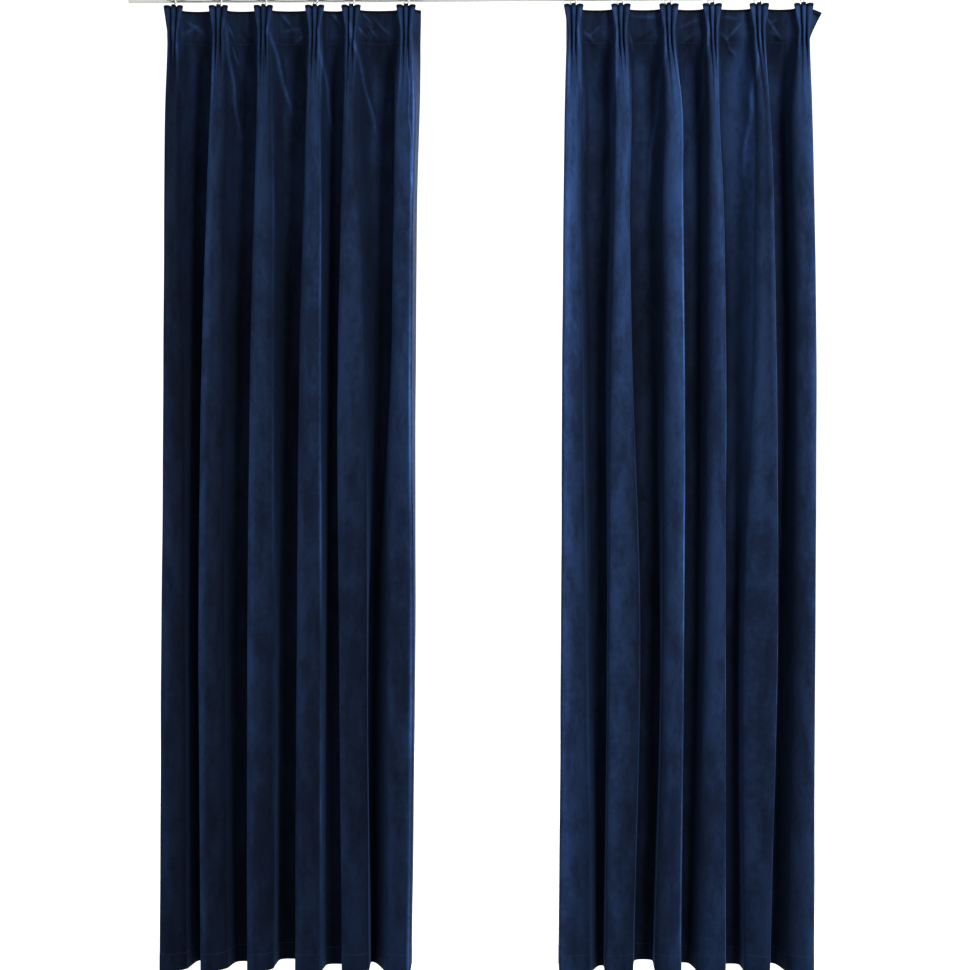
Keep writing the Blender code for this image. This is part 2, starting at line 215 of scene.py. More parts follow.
# Across a pleat, from -1 to 1: where its points stand, which are at the fingers' tips, and how far the points
# fan out at the top, as shares of its half width
HOOK_WIRE_RADIUS = 0.001
MOUTH = (HOOK_WIRE_RADIUS + SEAT_GAP + CLOTH / 2) / PLEAT_HALF_WIDTH
FINGER_ACROSS = np.array((-1, -1, -0.6, -0.6, -MOUTH, -MOUTH, MOUTH, MOUTH, 0.6, 0.6, 1, 1))
FINGER_TIP = np.array((0, 1, 1, 0, 0, 1, 1, 0, 0, 1, 1, 0))
FINGER_OPEN = np.array((0, -0.95, -0.3, 0, 0, -0.26, 0.26, 0, 0, 0.3, 0.95, 0))
FOLD_ACROSS = np.linspace(-1, 1, len(FINGER_ACROSS))
# The points of a recess's side wall, as shares of its spread and of the recess's depth, how far in the
# floor's two points stand, and the points of an end strip, as shares of its reach and its depth
WALL = ((0.08, 0.14), (0.38, 0.5), (0.78, 0.87))
FLOOR = 0.2
END_POINTS = ((0.2, 0.25), (0.6, 0.62), (1.0, 1.0))
RECESS_POINTS = 2 * len(WALL) + 2

# Finer than the part's source from here on: the length over which the grooves between the fingers melt, how
# crisp the bends stay, and the steps from one point of a pleat or a recess to the next
FINGER_MELT = 0.05
CRISP = 0.6
PLEAT_STEPS = 3
RECESS_STEPS = 4
# Rows of the cloth: from one drop to the next in steps
ROW_BANDS = (
    (0.0, 0.012, 0.002),
    (0.012, 0.112, 0.0045),
    (0.112, 0.50, 0.0095),
    (0.50, 2.39, 0.052),
    (2.39, 2.457, 0.0075),
)
# Two sines of the place bend the crease lines by CREASE_WAVE, at these rates for x and for the drop. The
# lines taper by half a sine of the share of their length, held between CREASE_ENDS.
CREASE_WAVE = 0.002
CREASE_BENDS = ((25, 45), (60, 35))
CREASE_ENDS = (0.04, 0.96)
# Waviness: each ripple is a height in millimetres times two sines. The first takes the place along the cloth
# and the drop, the second the drop alone, and both add a multiple of the curtain's phase.
WAVY_DROPS = (0.15, 0.65)
Ripple = namedtuple("Ripple", "height along slant turn down shift")
RIPPLES = (
    Ripple(0.9, 9.0, 2.1, 1, 2.3, 1.3),
    Ripple(0.6, 23.0, -3.7, 2, 5.1, 1),
    Ripple(0.35, 61.0, 8.3, 3, 11.7, -1),
)
# The angle in degrees beyond which an edge of the cloth is sharp
CLOTH_SMOOTH_ANGLE = 62
# The band and the hem are thicker by this share, which grows over a short length
EXTRA_LAYERS = 0.5
LAYER_STEP = 0.003
STITCH_LIFT = 0.0001
STITCH_RADIUS = 0.00032
STITCH_SHARE = 0.72

# The painted light and shade: the drops over which it changes from the heading's to the high one and on to
# the low one, the share it keeps as painted shade on cloth that faces aside, and the shares it loses as
# painted shade deep in a recess, more so low down, then towards the hem and along the top edge
HIGH_PAINT_DROPS = (0.07, 0.16)
LOW_PAINT_DROPS = (0.7, 1.3)
SIDEWAYS_PAINTED_SHARE = 0.35
RECESS_DEPTH = 0.075
DEEP_DARKER = (0.15, 0.55)
DEEP_DROPS = (0.25, 0.9)
HEM_DARKER = 0.2
EDGE_DARKER = 0.85
EDGE_ROLL = (0.0080, 0.0110)
# The painted highlight along a fold's right edge, in columns past the pleat's last point: its place, how far
# in it moves where the left edge stands back, and its half width. Then its brightness and how unevenly it
# shows.
RIM_PLACE = 0.05
RIM_INWARD = 0.6
RIM_WIDTH = 0.4
RIM_SHINE = 3.4
RIM_UNEVEN = 0.5
RIM_RATES = (9, 40)
# Creases get a painted highlight on the core of their ridges, and painted shade in their troughs, as much as
# their height in millimetres is of CREASE_FULL
CREASE_CORE = 0.42
CREASE_FULL = 4.5
CREASE_SHINE = 2.2
CREASE_LIMITS = (0.6, 3.5)

# The stage, in metres, with each lamp's place, target, size and color
COVE_RADIUS = 6.0
COVE_BEND = 1.2
COVE_FLOOR = -2.5
COVE_TOP = 5.0
COVE_SIDES = 96
AMBIENT = 0.1
CAMERA_TARGET = (-0.00384, -1.2469)
CAMERA_REACH = 60.0
Lamp = namedtuple("Lamp", "name place target size color")
LAMPS = (
    Lamp("key light", (1.6, -2.9, 0.6), (0.2, 0, -0.9), (0.8, 1.0), (1.0, 0.99, 0.97)),
    Lamp("back light", (0.9, 3.2, -0.3), (0, 0, -1.2), (2.0, 2.0), (0.97, 0.98, 1.0)),
    Lamp("fill light", (-1.5, -3.2, -0.2), (0, 0, -1.2), (2.0, 2.0), (0.96, 0.98, 1.0)),
)


class Number:
    """A number that shader nodes work out. Arithmetic on it adds Math nodes."""

    def __init__(self, look, socket):
        self.look = look
        self.socket = socket

    def math(self, operation, first, second=0.0):
        made = self.look.node("ShaderNodeMath", {"operation": operation}, {0: first, 1: second})
        return Number(self.look, made.outputs[0])

    def __add__(self, other):
        return self.math("ADD", self, other)

    def __radd__(self, other):
        return self.math("ADD", other, self)

    def __sub__(self, other):
        return self.math("SUBTRACT", self, other)

    def __rsub__(self, other):
        return self.math("SUBTRACT", other, self)

    def __mul__(self, other):
        return self.math("MULTIPLY", self, other)

    def __rmul__(self, other):
        return self.math("MULTIPLY", other, self)


class Look:
    """A material, and the nodes that are added to it."""

    def __init__(self, name):
        material = bpy.data.materials.new(name)
        material.use_nodes = True
        self.tree = material.node_tree
        self.tree.nodes.clear()

    def node(self, kind, settings=None, sockets=None):
        """Adds a node of this kind: first its settings, then the values or links of its sockets."""
        made = self.tree.nodes.new(kind)
        for name, value in (settings or {}).items():
            setattr(made, name, value)
        for key, value in (sockets or {}).items():
            target = made.inputs[key]
            if isinstance(value, Number):
                value = value.socket
            if isinstance(value, bpy.types.NodeSocket):
                self.tree.links.new(value, target)
            else:
                target.default_value = value
        return made

    def noise(self, vector, scale, detail=2.0, roughness=0.5):
        sockets = {"Vector": vector, "Scale": scale, "Detail": detail, "Roughness": roughness}
        return Number(self, self.node("ShaderNodeTexNoise", None, sockets).outputs["Fac"])

    def wave(self, value, rate):
        """Half of 1 plus the sine of the value times rate."""
        return value.math("SINE", value * rate) * 0.5 + 0.5

    def stretched(self, vector, scale):
        return self.node("ShaderNodeMapping", None, {"Vector": vector, "Scale": scale}).outputs["Vector"]

    def step(self, value, low, high):
        """0 below low and 1 above high, smoothly."""
        settings = {"interpolation_type": "SMOOTHSTEP"}
        made = self.node("ShaderNodeMapRange", settings, {"Value": value, "From Min": low, "From Max": high})
        return Number(self, made.outputs["Result"])

    def mix(self, factor, first, second):
        made = self.node("ShaderNodeMix", {"data_type": "RGBA"}, {0: factor, 6: first, 7: second})
        return made.outputs[2]

    def scaled(self, color, factor):
        made = self.node("ShaderNodeVectorMath", {"operation": "SCALE"}, {0: color, "Scale": factor})
        return made.outputs[0]

    def bump(self, height, strength, distance):
        sockets = {"Height": height, "Strength": strength, "Distance": distance}
        return self.node("ShaderNodeBump", None, sockets).outputs["Normal"]

    def finish(self, sockets):
        shader = self.node("ShaderNodeBsdfPrincipled", None, sockets)
        self.node("ShaderNodeOutputMaterial", None, {"Surface": shader.outputs[0]})


def rgba(color):
    return (*color, 1.0)


def through(drop, values):
    """A smooth curve through the values at EDGE_DROPS, read at each drop: cubic between neighbours, with the
    mean slope at each value."""
    knots = np.array(EDGE_DROPS)
    values = np.array(values) * MM
    slope = np.gradient(values, knots)
    i = np.clip(np.searchsorted(knots, drop) - 1, 0, len(knots) - 2)
    span = knots[i + 1] - knots[i]
    t = (drop - knots[i]) / span
    rise = t * t * (3 - 2 * t)
    bend = span * t * (1 - t) * ((1 - t) * slope[i] - t * slope[i + 1])
    return values[i] * (1 - rise) + values[i + 1] * rise + bend


def fade(drop, length):
    """1 down to the pinch. At a distance d below it, the exponential of -d squared over
    (length (d + SLOW_START))."""
    below = np.maximum(drop - PINCH_DROP, 0)
    return np.exp(-(below**2) / (length * (below + SLOW_START)))


def fold_edges(fold, drop):
    """The x of a fold's two edges: its pleat's middle plus a smooth curve through their offsets."""
    half = PLEAT_HALF_WIDTH / MM
    left = through(drop, (-half, -half, *fold.left))
    right = through(drop, (half, half, *fold.right))
    return fold.pleat * MM + left, fold.pleat * MM + right


def front_line(drop):
    """From PLEAT_BASE at the pinch to FOLD_FRONT far below it, by the share of fade."""
    return FOLD_FRONT + (PLEAT_BASE - FOLD_FRONT) * fade(drop, FOLD_FRONT_FADE)


def pleat_points(fold, drop):
    """Three fingers as steps back and forth across the pleat, which melt into one arch from edge to edge: at
    each drop, the share of the steps fades and that of the arch grows."""
    left, right = (edge[:, None] for edge in fold_edges(fold, drop))
    down = drop[:, None]
    pleated = fade(down, FINGER_FADE)
    across = FOLD_ACROSS + (FINGER_ACROSS - FOLD_ACROSS) * pleated
    across = across + fold.lean * (1 - pleated) * (1 - across**2)
    fanned = np.maximum(1 - down / PINCH_DROP, 0)
    x = (left + right) / 2 + across * (right - left) / 2 + PLEAT_HALF_WIDTH * fanned * FINGER_OPEN
    shallower = fanned * (OPEN_BACK + OUTER_BACK * across**2)
    finger = FINGER_DEPTH * fade(down, FINGER_MELT) * FINGER_TIP * (1 - shallower)
    crown = FOLD_CROWN * (1 - pleated) * (1 - across**4)
    turned = (1 + math.copysign(1, fold.skew) * across) / 2
    back = abs(fold.skew) * MM * (1 - pleated) * turned**2
    y = front_line(down) - finger - crown + back
    return np.stack((x, y), axis=2)


def recess_points(drop, right, left, spreads, skews, depth):
    """The cloth between two folds: a power of a half sine in the heading, which changes below it into a side
    wall, a floor at the given depth and a second side wall."""
    steep = 1 - fade(drop, FINGER_FADE)
    even = np.arange(1, RECESS_POINTS + 1) / (RECESS_POINTS + 1)
    leaving = [right + spreads[0] * share for share, _ in WALL]
    coming = [left - spreads[1] * share for share, _ in reversed(WALL)]
    floor = (left - spreads[1]) - (right + spreads[0])
    bottom = [right + spreads[0] + floor * FLOOR, left - spreads[1] - floor * FLOOR]
    walls = np.array(leaving + bottom + coming)
    backs = np.array([back for _, back in WALL])
    folded = np.concatenate((backs, (1, 1), backs[::-1]))[:, None]
    bowed = np.sin(math.pi * even)[:, None] ** BOW_POWER
    x = (right + (left - right) * even[:, None]) * (1 - steep) + walls * steep
    back = bowed * (1 - steep) + folded * steep
    half = RECESS_POINTS // 2
    edge = np.repeat((max(skews[0], 0), max(-skews[1], 0)), half)[:, None] * MM * steep
    y = front_line(drop) + edge + (depth - edge) * back
    return np.stack((x.T, y.T), axis=2)


def end_points(drop, edge, reach, depth):
    """A strip: shares of its reach past the edge and of its depth behind the front line."""
    points = [(edge + reach * out, front_line(drop) + depth * back) for out, back in END_POINTS]
    return np.array(points).transpose(2, 0, 1)


def length_of(points):
    return np.linalg.norm(np.diff(points, axis=1), axis=2).sum(axis=1)


def deep_enough(drop, length, made):
    """The points of made(depth), at the depth that uses this length of cloth at each drop, by halving."""
    low = np.zeros(len(drop))
    high = np.full(len(drop), length)
    for _ in range(HALVINGS):
        middle = (low + high) / 2
        short = length_of(made(middle)) < length
        low = np.where(short, middle, low)
        high = np.where(short, high, middle)
    return made(low)


def wall_spread(fold, side, drop):
    """A side wall's high spread down to the fifth of EDGE_DROPS, and its low spread after it."""
    high, low = fold.spread_high[side], fold.spread_low[side]
    return through(drop, (high, high, high, high, high, low, low))


def cell(fold, following, drop, depth):
    """From the middle of one fold to the middle of the next."""
    half = len(FINGER_ACROSS) // 2
    first = pleat_points(fold, drop)[:, half - 1 :]
    last = pleat_points(following, drop)[:, :half]
    spreads = (wall_spread(fold, 1, drop), wall_spread(following, 0, drop))
    right = fold_edges(fold, drop)[1]
    left = fold_edges(following, drop)[0]
    recess = recess_points(drop, right, left, spreads, (fold.skew, following.skew), depth)
    return np.concatenate((first, recess, last), axis=1)


def curtain_plan(folds, ends, drop):
    """The plan of the cloth's middle, as drops by points by (x, y), of the same length at each drop."""
    at_pinch = np.array((PINCH_DROP,))
    half = len(FINGER_ACROSS) // 2
    pleat_length = length_of(pleat_points(folds[0], at_pinch))[0] / 2

    def end(fold, side, reach, outward):
        """Half a pleat and the strip beyond it."""
        high, low = fold.spread_high[side], fold.spread_low[side]
        out = outward * through(drop, (*reach, high, high, high, low, low))
        pleat = pleat_points(fold, drop)
        near = pleat[:, :half][:, ::-1] if side == 0 else pleat[:, half - 1 :]
        edge = fold_edges(fold, drop)[side]

        def made(depth):
            return np.concatenate((near, end_points(drop, edge, out, depth)), axis=1)

        return deep_enough(drop, pleat_length + END_STRIP, made)

    parts = [end(folds[0], 0, ends.left, -1)[:, ::-1]]
    for fold, following in zip(folds, folds[1:]):
        length = length_of(cell(fold, following, at_pinch, HEADING_BOW))[0]
        parts.append(deep_enough(drop, length, lambda depth: cell(fold, following, drop, depth))[:, 1:])
    parts.append(end(folds[-1], 1, ends.right, 1)[:, 1:])
    return np.concatenate(parts, axis=1)


def columns_of(strips, pleats, recesses):
    """The values of all columns: a strip, the pleats with the recesses between them, and a strip."""
    pairs = [part for pair in zip(pleats, recesses) for part in pair]
    return np.concatenate([strips[0], *pairs, pleats[-1], strips[1]])


def lowered_hem(folds, drop):
    """How much lower each column hangs, which grows from HEM_START down to the hem."""
    bell = np.sin(math.pi * np.arange(1, RECESS_POINTS + 1) / (RECESS_POINTS + 1)) ** BOW_POWER
    pleat = np.zeros(len(FINGER_ACROSS))
    strip = np.zeros(len(END_POINTS))
    recesses = [fold.hem * MM * bell for fold in folds[:-1]]
    share = np.clip((drop - HEM_START) / (CURTAIN_DROP - HEM_START), 0, 1)
    return share[:, None] ** 2 * columns_of((strip, strip), [pleat] * len(folds), recesses)


def top_sag(folds, ends):
    """How far each column's top lies below the pleats' peaks."""
    corners = PLEAT_CORNER_SAG * FINGER_ACROSS**2
    corners[[0, -1]] = SPACE_SAG
    space = np.full(RECESS_POINTS, SPACE_SAG)
    strip = np.full(len(END_POINTS), SPACE_SAG)
    drooping = strip + ends.droop * MM * np.array([out for out, _ in END_POINTS])
    return columns_of((strip, drooping), [corners] * len(folds), [space] * (len(folds) - 1))


def column_steps(folds):
    """How many steps the smooth cloth takes between each two points of the plan."""
    pleat = [PLEAT_STEPS] * (len(FINGER_ACROSS) - 1)
    recess = [RECESS_STEPS] * (RECESS_POINTS + 1)
    strip = [PLEAT_STEPS] * len(END_POINTS)
    return columns_of((strip, strip), [pleat] * len(folds), [recess] * (len(folds) - 1))


def column_places(steps):
    """Each smooth column's place among the plan's columns: a whole number and a share of the next step."""
    segment = np.repeat(np.arange(len(steps)), steps)
    before = np.repeat(np.cumsum(steps) - steps, steps)
    share = (np.arange(steps.sum()) - before) / np.repeat(steps, steps)
    return np.append(segment, len(steps) - 1), np.append(share, 1.0)


def smooth_columns(points, steps):
    """A uniform cubic B-spline along the columns: each point is four neighbours weighted by the cubics of t.
    The points are first pushed out of their bends by a share of the bend, so that the folds stay crisp."""
    before = 2 * points[:, :1] - points[:, 1:2]
    after = 2 * points[:, -1:] - points[:, -2:-1]
    held = np.concatenate((before, points, after), axis=1)
    bend = held[:, :-2] - 2 * held[:, 1:-1] + held[:, 2:]
    held[:, 1:-1] -= CRISP / 6 * bend
    segment, t = column_places(steps)
    t = t[:, None]
    weights = ((1 - t) ** 3, 3 * t**3 - 6 * t**2 + 4, -3 * t**3 + 3 * t**2 + 3 * t + 1, t**3)
    return sum(weight / 6 * held[:, segment + k] for k, weight in enumerate(weights))


def row_drops():
    """The drops of the cloth's rows: each band in its steps, and the lower edge last."""
    rows = [np.arange(start, stop, step) for start, stop, step in ROW_BANDS]
    return np.concatenate(rows + [np.array((CURTAIN_DROP,))])


def normals_of(points):
    """The front side's normal at each point of a grid: the step down crossed with the step across."""
    down = np.gradient(points, axis=0)
    across = np.gradient(points, axis=1)
    normal = np.cross(down, across)
    return normal / np.linalg.norm(normal, axis=2, keepdims=True)


def crease_bells(points, creases, narrow=1.0, unit=False):
    """For each crease, its height times a bell of the distance from its line, tapering off at its two ends. A
    unit bell's height is its share of CREASE_FULL. Sines of the place bend the lines slightly."""
    x, drop = points[:, :, 0], TOP - points[:, :, 2]
    first, second = CREASE_BENDS
    x = x + CREASE_WAVE * np.sin(first[1] * drop + first[0] * x)
    drop = drop + CREASE_WAVE * np.sin(second[0] * x + second[1] * drop)
    total = np.zeros(x.shape)
    for crease in creases:
        start = np.array((crease.x0, crease.drop0)) * MM
        along = np.array((crease.x1, crease.drop1)) * MM - start
        share = ((x - start[0]) * along[0] + (drop - start[1]) * along[1]) / (along @ along)
        held = np.clip(share, 0, 1)
        away = np.hypot(x - start[0] - held * along[0], drop - start[1] - held * along[1])
        taper = np.sin(math.pi * np.clip(share, *CREASE_ENDS)) ** 0.5
        height = crease.height / CREASE_FULL if unit else crease.height * MM
        total += height * taper * np.exp(-((away / (narrow * crease.width * MM)) ** 2))
    return total


def unevenness(along, drop, phase):
    """The slight waviness of hung cloth: the sum of the ripples, growing below the heading."""
    free = np.clip((drop - WAVY_DROPS[0]) / (WAVY_DROPS[1] - WAVY_DROPS[0]), 0, 1)
    total = np.zeros(drop.shape)
    for wave in RIPPLES:
        across = np.sin(wave.along * along + wave.slant * drop + wave.turn * phase)
        total += wave.height * across * np.sin(wave.down * drop + wave.shift * phase)
    return total * MM * free


def cloth_grid(curtain):
    """The cloth's middle, its front normals, and at each point the place along the cloth and the drop."""
    drop = row_drops()
    plan = curtain_plan(curtain.folds, curtain.ends, drop)
    sag = top_sag(curtain.folds, curtain.ends) * np.maximum(1 - drop / PINCH_DROP, 0)[:, None]
    z = TOP - drop[:, None] - sag - lowered_hem(curtain.folds, drop)
    rough = np.concatenate((plan, z[:, :, None]), axis=2)
    points = smooth_columns(rough, column_steps(curtain.folds))
    steps = np.linalg.norm(np.diff(points[:, :, :2], axis=1), axis=2).mean(axis=0)
    along = np.broadcast_to(np.concatenate(((0,), np.cumsum(steps))), points.shape[:2])
    down = np.broadcast_to(drop[:, None], points.shape[:2])
    normal = normals_of(points)
    facing = np.clip(-normal[:, :, 1] * 2, 0, 1)
    raised = crease_bells(points, curtain.creases) * facing + unevenness(along, down, curtain.phase)
    points = points + normal * raised[:, :, None]
    return points, normals_of(points), along, down


def eased(value, low, high):
    """0 below low and 1 above high, by 3 s squared less 2 s cubed of the share s between them."""
    share = np.clip((value - low) / (high - low), 0, 1)
    return share * share * (3 - 2 * share)


def painted_light_row(curtain, level):
    """The painted light and shade at each smooth column, at level 0 for the heading, 1 for high up or 2 for
    low.
    """
    between = np.linspace(-1, 1, RECESS_POINTS)
    space = np.interp(between, (-1, 0, 1), curtain.spaces[level])
    fronts, recesses = [], []
    for nap in curtain.naps:
        # The painted light on the fold's front at this level
        nap_lie_and_painted_light = ((1.0, 1.0, 1.0), nap.high, nap.low)[level]
        fronts.append(np.interp(FOLD_ACROSS, (-1, 0, 1), nap_lie_and_painted_light))
        recesses.append(space * (1 + nap.wall * np.clip(between, 0, 1) * min(level, 1)))
    strip = np.ones(len(END_POINTS))
    columns = columns_of((strip, strip), fronts, recesses[:-1])
    segment, share = column_places(column_steps(curtain.folds))
    return np.interp(segment + share, np.arange(len(columns)), columns)


def painted_rim_row(curtain):
    """The painted highlight at each smooth column: a bell about each fold's right edge."""
    segment, share = column_places(column_steps(curtain.folds))
    number = np.arange(len(curtain.folds))
    edges = len(END_POINTS) - 1 + RIM_PLACE + (number + 1) * len(FINGER_ACROSS) + number * RECESS_POINTS
    edges = edges - RIM_INWARD * np.array([fold.skew < 0 for fold in curtain.folds])
    away = ((segment + share)[:, None] - edges) / RIM_WIDTH
    return (np.exp(-(away**2)) * np.array([nap.rim for nap in curtain.naps])).sum(axis=1)


def nap_tone(curtain, points, normal, down):
    """Painted light and shade, by which the velvet's colour is scaled: the columns' painted light, times the
    front normal's share towards the front as painted shade on cloth that faces aside, less as painted shade
    for cloth that lies deep between folds, towards the hem and along the top edge, and more as painted
    highlights along the folds' right edges and the creases' ridges."""
    high, low = eased(down, *HIGH_PAINT_DROPS), eased(down, *LOW_PAINT_DROPS)
    heading, upper, lower = (painted_light_row(curtain, level) for level in range(3))
    # nap is the columns' painted light and shade, from the heading to high up and low down
    nap = heading * (1 - high) + (upper * (1 - low) + lower * low) * high
    uneven = 1 + RIM_UNEVEN * np.sin(RIM_RATES[0] * down + RIM_RATES[1] * points[:, :, 0])
    # A painted highlight along each fold's right edge
    nap = nap + RIM_SHINE * painted_rim_row(curtain) * uneven * high
    # Painted shade deep in the recesses, more so low down
    deep = eased(points[:, :, 1] - front_line(down), 0, RECESS_DEPTH)
    painted_recess_shade = 1 - deep * (DEEP_DARKER[0] + DEEP_DARKER[1] * eased(down, *DEEP_DROPS))
    # Painted shade on cloth that faces aside
    facing = SIDEWAYS_PAINTED_SHARE + (1 - SIDEWAYS_PAINTED_SHARE) * np.clip(-normal[:, :, 1], 0, 1)
    # Painted shade towards the hem and along the top edge
    hem = 1 - HEM_DARKER * down / CURTAIN_DROP
    edge = 1 - EDGE_DARKER * (1 - eased(down, *EDGE_ROLL))
    # Painted highlights on the creases' ridges, and painted shade in their troughs
    ridges = crease_bells(points, curtain.creases, CREASE_CORE, unit=True)
    ridges = np.clip(1 + CREASE_SHINE * ridges, *CREASE_LIMITS)
    return curtain.brightness * nap * facing * painted_recess_shade * hem * edge * ridges


def thickness_at(down, cloth):
    """One layer between the heading band and the hem, and more layers in those two."""
    band = np.clip((cloth.band_depth - down) / LAYER_STEP, 0, 1)
    hem = np.clip((down - (CURTAIN_DROP - cloth.hem_depth)) / LAYER_STEP, 0, 1)
    return cloth.thickness * (1 + EXTRA_LAYERS * np.maximum(band, hem))


def grid_faces(rows, columns, start=0, wrap_rows=False, wrap_columns=False):
    """The faces of a grid of points, in the order down then across."""
    i = np.arange(rows if wrap_rows else rows - 1)[:, None]
    j = np.arange(columns if wrap_columns else columns - 1)[None, :]
    below, beside = (i + 1) % rows, (j + 1) % columns
    corners = (i * columns + j, below * columns + j, below * columns + beside, i * columns + beside)
    return np.stack(corners, axis=2).reshape(-1, 4) + start


def linked(name, data):
    obj = bpy.data.objects.new(name, data)
    bpy.context.scene.collection.objects.link(obj)
    return obj


def mesh_of(name, points, faces, look, smooth_angle):
    """A mesh in which points at one place are joined, so that a ring of radius 0 closes its end."""
    data = bpy.data.meshes.new(name)
    data.from_pydata(points.reshape(-1, 3), [], faces)
    data.materials.append(bpy.data.materials[look])
    made = bmesh.new()
    made.from_mesh(data)
    bmesh.ops.remove_doubles(made, verts=made.verts, dist=1e-7)
    made.to_mesh(data)
    made.free()
    data.shade_smooth()
    data.set_sharp_from_angle(angle=math.radians(smooth_angle))
    return linked(name, data)


def cloth_object(name, points, normal, along, down, tone):
    """A front and a back, half the thickness to either side of the middle, closed by a rim on all sides."""
    cloth = bpy.context.scene.curtain_cloth
    rows, columns = points.shape[:2]
    half = thickness_at(down, cloth)[:, :, None] / 2
    both = np.stack((points + normal * half, points - normal * half))
    count = rows * columns
    index = np.arange(count).reshape(rows, columns)
    front = grid_faces(rows, columns)
    back = grid_faces(rows, columns, count)[:, ::-1]
    edge = np.concatenate((index[0, :-1], index[:-1, -1], index[-1, :0:-1], index[:0:-1, 0]))
    onward = np.roll(edge, -1)
    rim = np.stack((edge, onward, onward + count, edge + count), axis=1)
    data = bpy.data.meshes.new(name)
    data.from_pydata(both.reshape(-1, 3), [], np.concatenate((front, back, rim)))
    for look in ("velvet pile", "velvet back"):
        data.materials.append(bpy.data.materials[look])
    sides = np.zeros(len(data.polygons), dtype=np.int32)
    sides[len(front) : len(front) + len(back)] = 1
    data.polygons.foreach_set("material_index", sides)
    place = np.stack((along, down), axis=2).reshape(-1, 2)
    corner = np.zeros(len(data.loops), dtype=np.int32)
    data.loops.foreach_get("vertex_index", corner)
    layer = data.uv_layers.new(name="cloth")
    layer.data.foreach_set("uv", place[corner % count].astype(np.float32).ravel())
    # The painted light and shade, which scales the velvet's colour
    tones = data.attributes.new(name="nap_tone", type="FLOAT", domain="POINT")
    tones.data.foreach_set("value", np.tile(tone.ravel(), 2).astype(np.float32))
    data.shade_smooth()
    data.set_sharp_from_angle(angle=math.radians(CLOTH_SMOOTH_ANGLE))
    return linked(name, data)


def row_line(points, normal, down, drop, lift):
    """The line across the cloth at one drop, lifted off the middle along the normals."""
    depths = down[:, 0]
    i = int(np.clip(np.searchsorted(depths, drop) - 1, 0, len(depths) - 2))
    t = (drop - depths[i]) / (depths[i + 1] - depths[i])
    line = points[i] * (1 - t) + points[i + 1] * t
    out = normal[i] * (1 - t) + normal[i + 1] * t
    out = out / np.linalg.norm(out, axis=1, keepdims=True)
    return line + out * lift, out


def stitch_row(line, out, pitch, length, radius):
    """Stitches along a line. Each is a spindle: along its length s from -1 to 1, its radius is the root of 1
    less s squared. The result is spindles by rings by sides by (x, y, z)."""
    steps = np.linalg.norm(np.diff(line, axis=0), axis=1)
    travelled = np.concatenate(((0,), np.cumsum(steps)))
    places = np.arange(pitch, travelled[-1] - pitch, pitch)

    def read(values):
        return np.stack([np.interp(places, travelled, values[:, k]) for k in range(3)], axis=1)

    middle, up = read(line), read(out)
    ahead = np.gradient(middle, axis=0)
    ahead /= np.linalg.norm(ahead, axis=1, keepdims=True)
    up -= (up * ahead).sum(axis=1, keepdims=True) * ahead
    up /= np.linalg.norm(up, axis=1, keepdims=True)
    side = np.cross(ahead, up)
    s = np.array((-1, -0.6, 0.6, 1))[None, :, None, None]
    a = (np.arange(5) * math.tau / 5)[None, None, :, None]
    ahead, up, side = (v[:, None, None, :] for v in (ahead, up, side))
    reach = radius * np.sqrt(1 - s**2) * (np.cos(a) * up + np.sin(a) * side)
    return middle[:, None, None, :] + ahead * s * length / 2 + reach


def stitching_object(name, rows):
    """The stitches of all rows as one mesh."""
    spindles = np.concatenate(rows)
    count, rings, sides = spindles.shape[:3]
    one = grid_faces(rings, sides, wrap_columns=True)
    faces = (one[None] + (np.arange(count) * rings * sides)[:, None, None]).reshape(-1, 4)
    return mesh_of(name, spindles, faces, "sewing thread", 80)


def tube(path, radius, sides):
    """A round tube about a path in a plane across X: at each point, radius times the cosine of the angle
    along X and its sine along the path's normal."""
    ahead = np.gradient(path, axis=0)
    ahead /= np.linalg.norm(ahead, axis=1, keepdims=True)
    up = np.cross(ahead, X_AXIS)
    angle = np.arange(sides) * math.tau / sides
    wheel = np.cos(angle)[:, None] * X_AXIS + np.sin(angle)[:, None] * up[:, None]
    return path[:, None] + np.asarray(radius)[:, None, None] * wheel


def torus(radius, wire, steps, sides):
    """A ring about the X axis: a circle of the wire's radius carried round a circle."""
    around = (np.arange(steps) * math.tau / steps)[:, None]
    about = (np.arange(sides) * math.tau / sides)[None, :]
    reach = radius + wire * np.cos(about)
    x = wire * np.sin(about) + 0 * around
    return np.stack((x, reach * np.sin(around), reach * np.cos(around)), axis=2)


def turned_about_z(points, angle):
    """Turned by the angle: x cos less y sin, and x sin plus y cos."""
    c, s = math.cos(angle), math.sin(angle)
    return points @ np.array(((c, s, 0), (-s, c, 0), (0, 0, 1)))


